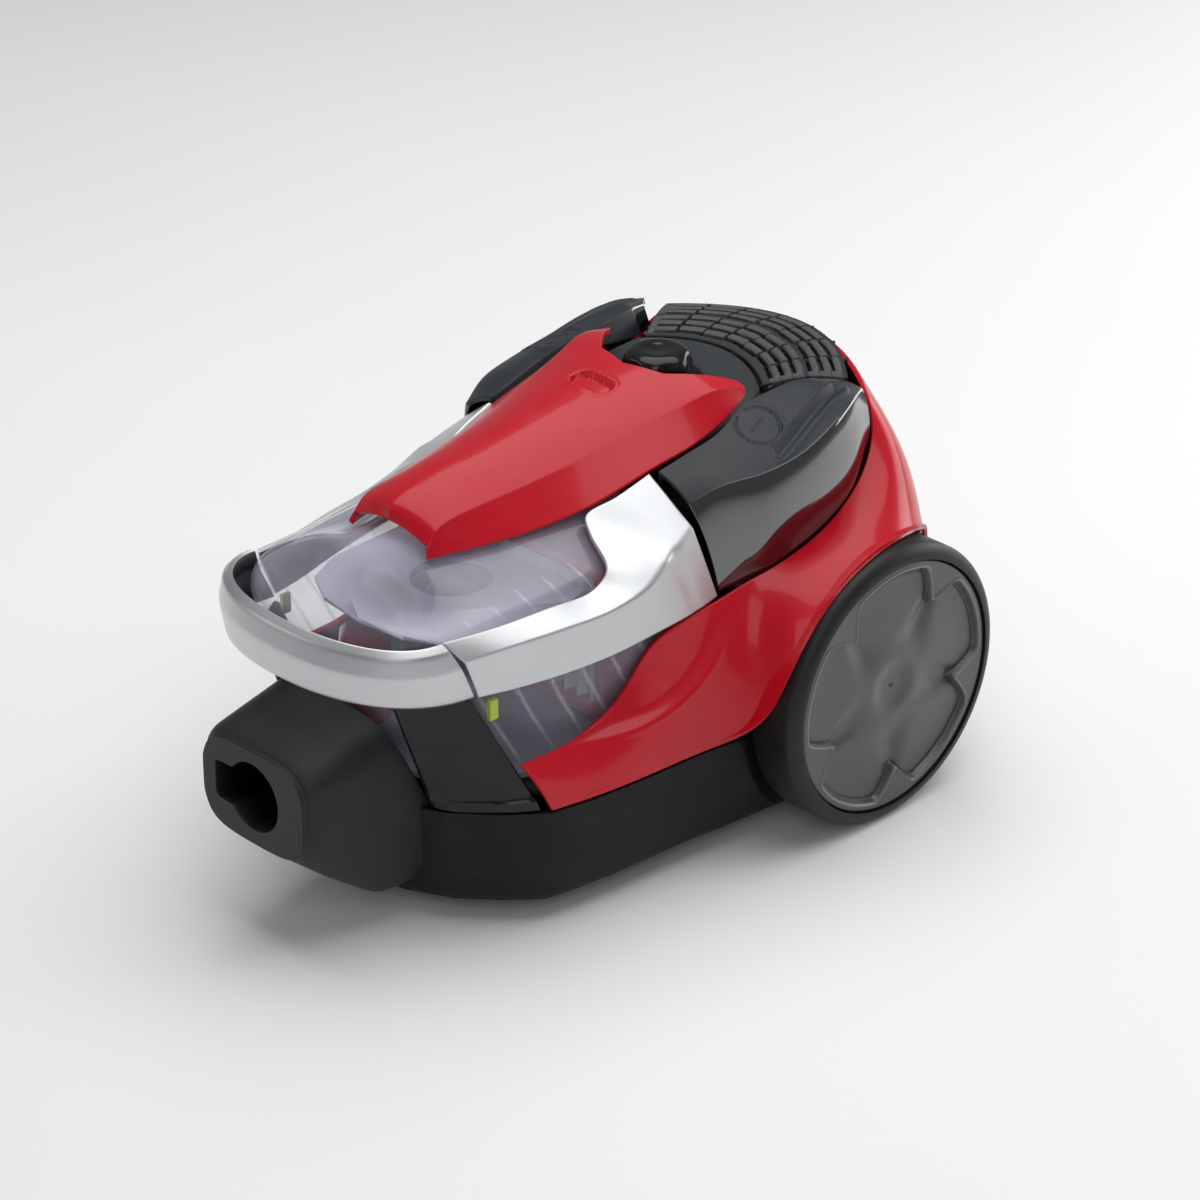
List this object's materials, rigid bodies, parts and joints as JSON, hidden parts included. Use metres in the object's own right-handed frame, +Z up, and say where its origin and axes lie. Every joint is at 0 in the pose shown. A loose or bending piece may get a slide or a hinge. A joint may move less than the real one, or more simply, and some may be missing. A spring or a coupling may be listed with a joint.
{
  "type": "canister vacuum cleaner",
  "caption": "Bagless canister vacuum cleaner with large rear wheels, a swivelling front caster, a lift-out clear dust case under a carrying handle, two deck pedals, power knob and rear grille.",
  "frame": {"origin": "centre of the footprint on the floor", "axes": "+Z up, +Y towards the rear of the cleaner, +X to its right-hand side"},
  "size_m": [0.29, 0.444, 0.2423],
  "materials": {
    "red_gloss": "gloss",
    "silver_satin": "satin metallic paint",
    "deck_grey": "fine matte grain",
    "black_matte": "matte",
    "black_gloss": "gloss",
    "wheel_grey": "satin",
    "clear": "polished",
    "purple": "satin",
    "dark_red": "satin",
    "filter_paper": "matte",
    "steel": "satin",
    "copper_iron": "satin",
    "rubber_black": "matte",
    "tyre_black": "satin",
    "board_green": "satin",
    "lime": "satin"
  },
  "bodies": {
    "chassis": {"hose_inlet_housing": "deck_grey", "inlet_seal": "rubber_black", "lower_chassis": "black_matte", "chassis_screw_1": "steel", "chassis_screw_2": "steel", "chassis_screw_3": "steel", "chassis_screw_4": "steel", "body_shell": "red_gloss", "front_hoop": "silver_satin", "front_pillar_right": "black_gloss", "front_pillar_left": "black_gloss", "case_bay_floor": "black_matte", "motor_bulkhead": "black_matte", "deck_frame": "deck_grey", "wheel_axle_right": "steel", "wheel_axle_left": "steel", "control_board": "board_green", "exhaust_filter": "filter_paper", "fan_casing": "steel", "motor_can": "steel", "motor_stator": "copper_iron", "motor_mount_front": "rubber_black", "motor_mount_rear": "rubber_black", "reel_bracket": "black_matte", "cord_outlet": "black_matte", "power_pedal_spring": "steel", "cord_pedal_spring": "steel"},
    "wheel_right": {"wheel_tyre_right": "tyre_black", "wheel_rim_right": "black_matte", "hub_cover_right": "wheel_grey"},
    "wheel_left": {"wheel_tyre_left": "tyre_black", "wheel_rim_left": "black_matte", "hub_cover_left": "wheel_grey"},
    "caster_swivel_fork": {"caster_fork": "black_matte"},
    "caster_roller": {"caster_wheel": "rubber_black"},
    "power_pedal_body": {"power_pedal": "deck_grey"},
    "cord_pedal_body": {"cord_pedal": "deck_grey"},
    "knob": {"power_knob": "black_gloss"},
    "grille": {"exhaust_grille": "deck_grey"},
    "dust_case": {"dust_case_shell": "clear", "case_bottom_door": "clear", "side_trim_right": "silver_satin", "side_trim_left": "silver_satin", "carrying_handle": "red_gloss", "pleated_filter": "filter_paper", "filter_frame": "dark_red", "cyclone_cone": "purple", "separator_plate": "purple", "mesh_tube": "steel", "case_inlet_pipe": "dark_red", "case_latch_right": "lime", "case_latch_left": "lime"},
    "clean_slide": {"filter_clean_slide": "red_gloss"},
    "release": {"release_button": "black_gloss"},
    "rotor": {"motor_rotor": "steel"},
    "reel": {"cord_reel": "wheel_grey"},
    "brake": {"reel_brake": "black_matte"}
  },
  "joints": [
    {"name": "wheel_right_spin", "type": "hinge", "parent": "chassis", "child": "wheel_right", "pos_m": [0.129, 0.102, 0.08], "axis": [1, 0, 0], "continuous": true},
    {"name": "wheel_left_spin", "type": "hinge", "parent": "chassis", "child": "wheel_left", "pos_m": [-0.129, 0.102, 0.08], "axis": [1, 0, 0], "continuous": true},
    {"name": "caster_swivel", "type": "hinge", "parent": "chassis", "child": "caster_swivel_fork", "pos_m": [0, -0.094, 0.052], "axis": [0, 0, 1], "continuous": true},
    {"name": "caster_roll", "type": "hinge", "parent": "caster_swivel_fork", "child": "caster_roller", "pos_m": [0, -0.081, 0.016], "axis": [1, 0, 0], "continuous": true},
    {"name": "power_pedal_press", "type": "hinge", "parent": "chassis", "child": "power_pedal_body", "pos_m": [0.08, 0.01, 0.19], "axis": [-1, 0, 0], "range_deg": [0, 2], "stiffness_Nm_per_rad": 4, "springref_deg": -2.86, "deforming": ["power_pedal_spring"]},
    {"name": "cord_pedal_press", "type": "hinge", "parent": "chassis", "child": "cord_pedal_body", "pos_m": [-0.08, 0.01, 0.19], "axis": [-1, 0, 0], "range_deg": [0, 2], "stiffness_Nm_per_rad": 4, "springref_deg": -2.86, "deforming": ["cord_pedal_spring"]},
    {"name": "brake_lift", "type": "hinge", "parent": "chassis", "child": "brake", "pos_m": [-0.068, 0.063, 0.1655], "axis": [1, 0, 0], "range_deg": [0, 3.2]},
    {"name": "power_knob_turn", "type": "hinge", "parent": "chassis", "child": "knob", "pos_m": [0, 0.066, 0.23], "axis": [0, 0, 1], "range_deg": [-135, 135]},
    {"name": "grille_lift", "type": "slide", "parent": "chassis", "child": "grille", "axis": [0, 0, 1], "range_m": [0, 0.06]},
    {"name": "dust_case_lift", "type": "slide", "parent": "chassis", "child": "dust_case", "axis": [0, -0.4158, 0.9095], "range_m": [0, 0.13]},
    {"name": "clean_slide_travel", "type": "slide", "parent": "dust_case", "child": "clean_slide", "axis": [1, 0, 0], "range_m": [0, 0.008]},
    {"name": "release_button_press", "type": "slide", "parent": "chassis", "child": "release", "axis": [0, 0, -1], "range_m": [0, 0.003], "stiffness_N_per_m": 400, "springref_m": -0.002},
    {"name": "motor_spin", "type": "hinge", "parent": "chassis", "child": "rotor", "pos_m": [0.034, 0.08, 0.084], "axis": [0, 1, 0], "continuous": true},
    {"name": "reel_spin", "type": "hinge", "parent": "chassis", "child": "reel", "pos_m": [-0.068, 0.108, 0.092], "axis": [1, 0, 0], "continuous": true}
  ],
  "couplings": [
    {"joint": "brake_lift", "follows": "cord_pedal_press", "ratio": 1.5}
  ]
}
